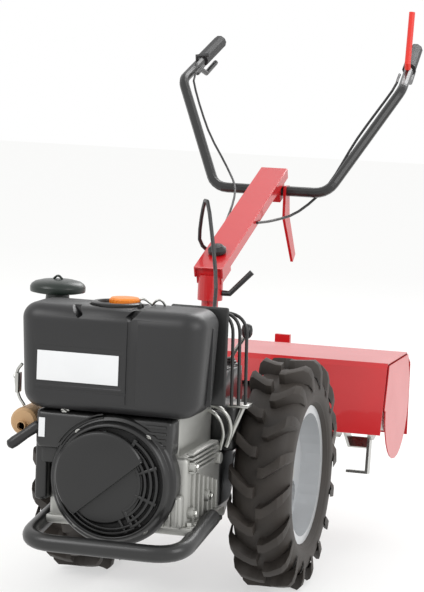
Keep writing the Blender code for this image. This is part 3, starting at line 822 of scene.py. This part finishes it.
# Cylinder head, air filter and muffler ----------------------------------------------------------
# The finned head and the rocker cover stand behind the tank. The oil-bath air filter has a dark
# green mushroom cap. The muffler is a tan enamelled can under the tank's far corner.
head_low, head_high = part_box("cylinder_head")
fins = [
    edged(
        block(
            (head_low.x, head_low.y + 0.004, head_low.z + 0.004),
            (head_high.x - 0.05, head_high.y, 0.520),
        ),
        0.008,
        3,
    ),
]
for i in range(7):
    z = head_low.z + 0.012 + 0.018 * i
    fins.append(
        edged(
            block(
                (head_low.x - 0.001, head_low.y + 0.001, z),
                (head_high.x - 0.040, head_high.y + 0.006, z + 0.004),
            ),
            0.001,
        )
    )
cover = edged(
    block((head_low.x + 0.03, head_low.y + 0.006, 0.515), (head_high.x - 0.06, head_high.y - 0.004, 0.575)),
    0.012,
    4,
)
head = placed(joined(*fins, cover), "finned_cylinder_head", cast_aluminium, "chassis")
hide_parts("cylinder_head")
backing = edged(block((0.060, -0.548, 0.415), (0.172, -0.540, 0.600)), 0.010, 4)
frame_tubes = [
    bent_tube(
        [
            (0.020, -0.535 + 0.012 * i, 0.592 - 0.002 * i),
            (0.178 + 0.010 * i, -0.535 + 0.012 * i, 0.590 - 0.002 * i),
            (0.180 + 0.010 * i, -0.530 + 0.012 * i, 0.415),
        ],
        0.0032,
        0.040,
    )
    for i in range(3)
]
tank_bracket = placed(joined(backing, *frame_tubes), "tank_bracket_and_pipes", black_enamel, "chassis")

filter_low, filter_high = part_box("air_filter")
filter_x = (filter_low.x + filter_high.x) / 2
filter_y = (filter_low.y + filter_high.y) / 2
filter_bowl = turned(
    [
        (0.036, 0.462),
        (0.040, 0.466),
        (0.040, 0.560),
        (0.042, 0.562),
        (0.042, 0.570),
        (0.036, 0.574),
        (0.024, 0.578),
        (0.022, 0.598),
        (0.026, 0.600),
    ],
    (filter_x, filter_y, 0),
    "Z",
    64,
)
filter_cap = turned(
    [
        (0.044, 0.600),
        (0.0525, 0.602),
        (0.053, 0.606),
        (0.053, 0.612),
        (0.050, 0.617),
        (0.044, 0.621),
        (0.030, 0.6245),
        (0.012, 0.626),
    ],
    (filter_x, filter_y, 0),
    "Z",
    72,
)
filter_wing = bent_tube(
    [(filter_x - 0.009, filter_y, 0.626), (filter_x, filter_y, 0.632), (filter_x + 0.009, filter_y, 0.626)],
    0.0022,
)
air_filter = placed(
    joined(filter_bowl, edged(filter_cap, 0.0006), filter_wing),
    "oil_bath_air_filter",
    green_plastic,
    "chassis",
)
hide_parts("air_filter")

muffler_low, muffler_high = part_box("muffler")
muffler_x = (muffler_low.x + muffler_high.x) / 2
muffler_z = (muffler_low.z + muffler_high.z) / 2
can_radius = (muffler_high.x - muffler_low.x) / 2
can_length = muffler_high.y - muffler_low.y
can = turned(
    [
        (can_radius * 0.80, 0.0),
        (can_radius * 0.97, 0.005),
        (can_radius, 0.012),
        (can_radius, 0.030),
        (can_radius - 0.0015, 0.032),
        (can_radius - 0.0015, 0.036),
        (can_radius, 0.038),
        (can_radius, can_length - 0.012),
        (can_radius * 0.97, can_length - 0.005),
        (can_radius * 0.80, can_length),
    ],
    (muffler_x, muffler_high.y, muffler_z),
    "-Y",
    64,
)
outlet = turned(
    [(0.009, 0.0), (0.009, 0.014), (0.0075, 0.014), (0.0075, 0.002)],
    (muffler_x, muffler_low.y + 0.002, muffler_z - 0.006),
    "-Y",
    32,
)
muffler = placed(joined(can, outlet), "muffler_can", tan_enamel, "chassis")
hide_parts("muffler")
straps = [
    bent_tube(
        [
            (tank_low.x - 0.002, tank_low.y + 0.060, 0.400),
            (tank_low.x - 0.012, tank_low.y + 0.055, 0.420),
            (tank_low.x - 0.014, tank_low.y + 0.050, 0.465),
            (tank_low.x - 0.004, tank_low.y + 0.048, 0.480),
        ],
        0.003,
    ),
    edged(
        block(
            (tank_low.x - 0.016, tank_low.y + 0.045, 0.425),
            (tank_low.x - 0.010, tank_low.y + 0.065, 0.462),
        ),
        0.001,
    ),
    bolt((tank_low.x - 0.016, tank_low.y + 0.055, 0.455), "-X", 0.005),
]
muffler_stay = placed(joined(*straps), "muffler_stay", zinc_steel, "chassis")


# Bumper -----------------------------------------------------------------------------------------
# One bent steel tube in satin black enamel. Its rear ends are pressed flat and bolted to the foot.
bumper_low, bumper_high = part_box("front_bumper")
tube_radius = 0.0162
bumper_side = bumper_high.x - tube_radius
bumper_front = bumper_low.y + tube_radius
bumper_rear = bumper_high.y
rail_low, rail_high = 0.168, 0.199
bumper = bent_tube(
    [
        (-bumper_side, bumper_rear - 0.018, rail_high),
        (-bumper_side, bumper_front, rail_low),
        (bumper_side, bumper_front, rail_low),
        (bumper_side, bumper_rear - 0.018, rail_high),
    ],
    tube_radius,
    0.060,
    7,
)
lugs = [
    edged(
        block(
            (side * bumper_side - 0.016, bumper_rear - 0.050, rail_high - 0.006),
            (side * bumper_side + 0.016, bumper_rear, rail_high + 0.003),
        ),
        0.003,
        3,
    )
    for side in (-1, 1)
]
bumper = placed(joined(bumper, *lugs), "bumper_tube", black_enamel, "chassis", smooth=45.0)
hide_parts("front_bumper")
bumper_screws = placed(
    joined(
        *[
            bolt((side * bumper_side, bumper_rear - 0.014, rail_high + 0.003), "Z", 0.007)
            for side in (-1, 1)
        ]
    ),
    "bumper_screws",
    zinc_steel,
    "chassis",
    smooth=30.0,
)


# Clutch housing and gearbox ---------------------------------------------------------------------
# A ribbed aluminium bell joins the engine to the gearbox, which is a black enamelled casting with
# a split flange, round side covers, a drain plug and screws all round.
bell_low, bell_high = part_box("clutch_housing")
bell_length = bell_high.y - bell_low.y
bell = turned(
    [
        (0.102, 0.0),
        (0.102, 0.010),
        (0.096, 0.012),
        (0.095, bell_length * 0.35),
        (0.078, bell_length * 0.85),
        (0.084, bell_length * 0.88),
        (0.084, bell_length - 0.001),
    ],
    (0, bell_low.y, crank_height),
    "Y",
    72,
)
bell_rib = edged(
    block(
        (-0.003, bell_low.y + 0.010, crank_height + 0.070),
        (0.003, bell_high.y - 0.012, crank_height + 0.097),
    ), 0.001
)
bell_ribs = ring_of(bell_rib, 12, (0, 0, crank_height), "Y")
bell_screws = ring_of(
    bolt((0, bell_high.y - 0.014, crank_height + 0.079), "-Y", 0.0045, 0.004),
    8,
    (0, 0, crank_height),
    "Y",
)
bell = placed(joined(edged(bell, 0.0015), bell_ribs), "clutch_bell", cast_aluminium, "chassis")
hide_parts("clutch_housing")
bell_screws = placed(bell_screws, "bell_screws", zinc_steel, "chassis", smooth=30.0)

box_low, box_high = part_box("gearbox")
axle_y, axle_height = -0.189, 0.230
gear_case = nodes["gearbox"].copy()
gear_case.data = nodes["gearbox"].data.copy()
bpy.context.scene.collection.objects.link(gear_case)
clear_choice()
gear_case.select_set(True)
bpy.context.view_layer.objects.active = gear_case
bpy.ops.object.mode_set(mode="EDIT")
bpy.ops.mesh.select_all(action="SELECT")
bpy.ops.mesh.remove_doubles(threshold=0.0001)
bpy.ops.object.mode_set(mode="OBJECT")
gear_parts = [gear_case]
for side in (-1, 1):
    face = side * box_high.x
    for y, z, radius in (
        (axle_y + 0.060, 0.315, 0.052),
        (axle_y - 0.030, 0.335, 0.034),
        (axle_y + 0.105, 0.245, 0.040),
    ):
        gear_parts.append(
            turned(
                [
                    (radius, -0.004),
                    (radius, 0.004),
                    (radius - 0.003, 0.006),
                    (radius - 0.012, 0.006),
                    (radius - 0.015, 0.003),
                ],
                (face, y, z),
                "X" if side > 0 else "-X",
                48,
            )
        )
    for i in range(4):
        gear_parts.append(
            edged(
                block(
                    (face - 0.004, axle_y - 0.070 + 0.045 * i, 0.150),
                    (face + 0.005, axle_y - 0.065 + 0.045 * i, 0.205),
                ),
                0.0015,
            )
        )
gear_parts.append(
    edged(
        block(
            (-0.004, box_low.y + 0.012, box_low.z + 0.010),
            (0.004, box_high.y + 0.005, box_high.z + 0.004),
        ),
        0.0015,
    )
)
gear_parts.append(
    edged(
        block((-0.050, axle_y + 0.050, box_high.z - 0.004), (0.060, axle_y + 0.145, box_high.z + 0.004)),
        0.003,
    )
)
gear_case = placed(joined(*gear_parts), "gearbox_casting", black_enamel, "chassis")
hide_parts("gearbox")
gear_screws = []
for side, axis in ((-1, "-X"), (1, "X")):
    cover_screw = bolt((side * (box_high.x + 0.006), axle_y + 0.060, 0.315 + 0.045), axis, 0.004, 0.0035)
    gear_screws.append(ring_of(cover_screw, 6, (0, axle_y + 0.060, 0.315), "X"))
gear_screws.append(bolt((0.035, axle_y + 0.075, box_high.z + 0.004), "Z", 0.008, 0.008))
gear_screws.append(bolt((0.0, axle_y, box_low.z), "Z", 0.009, 0.001))
gear_screws = placed(joined(*gear_screws), "gearbox_screws", zinc_steel, "chassis", smooth=30.0)

guard = [
    edged(block((0.070, -0.392, 0.300), (0.150, -0.300, 0.392)), 0.012, 4),
    edged(block((0.080, -0.400, 0.190), (0.128, -0.310, 0.300)), 0.010, 4),
    turned(
        [(0.030, 0.0), (0.030, 0.020), (0.026, 0.024), (0.012, 0.026)],
        (0.118, -0.392, 0.352),
        "-Y",
        40,
    ),
]
guard = placed(joined(*guard), "starter_motor_and_guard", black_enamel, "chassis")
pipes = [
    bent_tube(
        [(0.105, -0.445, 0.400), (0.140, -0.450, 0.392), (0.155, -0.440, 0.360), (0.146, -0.430, 0.318)],
        0.0042,
    ),
    bent_tube(
        [(0.095, -0.445, 0.392), (0.128, -0.452, 0.382), (0.141, -0.442, 0.350), (0.134, -0.432, 0.312)],
        0.0036,
    ),
    edged(rod(0.0045, (0.176, -0.420, 0.402), (0.146, -0.432, 0.318), 16), 0.0006),
    edged(block((0.150, -0.450, 0.398), (0.190, -0.410, 0.404)), 0.0015),
]
pipes = placed(joined(*pipes), "injection_pipes", zinc_steel, "chassis")

shift_rod = bent_tube(
    [(0.045, axle_y + 0.125, 0.420), (0.046, axle_y + 0.125, 0.432), (0.075, axle_y + 0.128, 0.486)],
    0.0042,
)
shift_boot = turned(
    [
        (0.016, 0.0),
        (0.0165, 0.004),
        (0.012, 0.006),
        (0.0128, 0.009),
        (0.009, 0.011),
        (0.0095, 0.014),
        (0.006, 0.016),
    ],
    (0.045, axle_y + 0.125, 0.4205),
    "Z",
    36,
)
shift_rod = placed(shift_rod, "gear_lever_rod", zinc_steel, "chassis", smooth=60.0)
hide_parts("gear_lever")
shift_knob = turned(
    [(0.0055, 0.478), (0.0085, 0.481), (0.0115, 0.487), (0.0120, 0.496), (0.0100, 0.5045), (0.0050, 0.508)],
    (0.0765, axle_y + 0.1282, 0),
    "Z",
    40,
)
shift_knob = placed(
    joined(shift_knob, shift_boot),
    "gear_knob_and_boot",
    black_nylon,
    "chassis",
    smooth=50.0,
)
for side, housing_name in ((1, "axle_housing_left"), (-1, "axle_housing_right")):
    house_low, house_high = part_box(housing_name)
    inner, outer = (house_low.x, house_high.x) if side > 0 else (house_high.x, house_low.x)
    length = abs(outer - inner)
    sleeve = turned(
        [
            (0.046, 0.0),
            (0.046, 0.008),
            (0.041, 0.011),
            (0.038, 0.014),
            (0.038, length - 0.004),
            (0.036, length),
            (0.014, length),
        ],
        (inner, axle_y, axle_height),
        "X" if side > 0 else "-X",
        56,
    )
    sleeve = placed(edged(sleeve, 0.001), housing_name + "_casting", black_enamel, "chassis")
    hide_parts(housing_name)


# Tyres ------------------------------------------------------------------------------------------
# Agricultural tyres of moulded rubber, with eighteen slanted lugs a side that wrap down the wall.
# The rubber's colour wanders slowly at random between dark and dusty brown.
wheel_radius = 0.230
lug_count = 18
LUG_SECTIONS = (
    # shift across, shift round, shift outwards, size
    (0.016, 0.012, 0.0, 1.0),
    (0.016, 0.013, -0.001, 1.0),
    (0.009, 0.007, -0.008, 0.92),
    (0.0045, 0.004, -0.014, 0.85),
    (0.0005, 0.003, -0.016, 0.70),
)


def tyre_lug(centre):
    """One lug: a bar drawn from the crown's middle to the shoulder, then down the side wall."""
    lug = block((0.003, -0.011, wheel_radius - 0.030), (0.014, 0.011, wheel_radius))
    clear_choice()
    bpy.context.view_layer.objects.active = lug
    bpy.ops.object.mode_set(mode="EDIT")
    bpy.ops.mesh.select_mode(type="FACE")
    bpy.ops.mesh.select_all(action="DESELECT")
    bpy.ops.object.mode_set(mode="OBJECT")
    for face in lug.data.polygons:
        face.select = face.normal.x > 0.9
    bpy.ops.object.mode_set(mode="EDIT")
    for across, around, outwards, share in LUG_SECTIONS:
        bpy.ops.mesh.extrude_region_move(TRANSFORM_OT_translate={"value": (across, around, outwards)})
        bpy.ops.transform.resize(value=(1.0, share, share))
    bpy.ops.object.mode_set(mode="OBJECT")
    for corner in lug.data.vertices:
        if corner.co.z > wheel_radius - 0.012 and corner.co.x < 0.045:
            corner.co.y *= 0.93
        if corner.co.z > wheel_radius - 0.0001:
            corner.co.z = math.sqrt(max(wheel_radius**2 - corner.co.y**2, 0.0))
    lug = edged(lug, 0.0028, 2, 25.0)
    lug.data.transform(Matrix.Translation(centre))
    return lug


for wheel in ("left", "right"):
    body = "wheel_" + wheel
    tyre_low, tyre_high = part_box("tyre_" + wheel)
    centre = ((tyre_low.x + tyre_high.x) / 2, (tyre_low.y + tyre_high.y) / 2, wheel_radius)
    wall = [
        (0.1265, 0.0430),
        (0.1400, 0.0435),
        (0.1440, 0.0490),
        (0.1470, 0.0530),
        (0.1500, 0.0535),
        (0.1520, 0.0555),
        (0.1640, 0.0575),
        (0.1800, 0.0568),
        (0.1930, 0.0520),
        (0.2020, 0.0430),
        (0.2070, 0.0280),
        (0.2090, 0.0100),
    ]
    outline = wall + [(radius, -along) for radius, along in reversed(wall)]
    carcass = spun(outline, centre, "X", 120)
    lug = tyre_lug(centre)
    lugs = ring_of(lug, lug_count, centre, "X")
    other = lugs.copy()
    other.data = lugs.data.copy()
    bpy.context.scene.collection.objects.link(other)
    about = Matrix.Translation(centre)
    half_pitch = Matrix.Rotation(math.pi / lug_count, 4, "X")
    other.data.transform(about @ half_pitch @ Matrix.Diagonal((-1, 1, 1, 1)) @ about.inverted())
    other.data.flip_normals()
    tyre = placed(joined(carcass, lugs, other), "lugged_tyre_" + wheel, tyre_rubber, body, smooth=40.0)
    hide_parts("tyre_" + wheel)
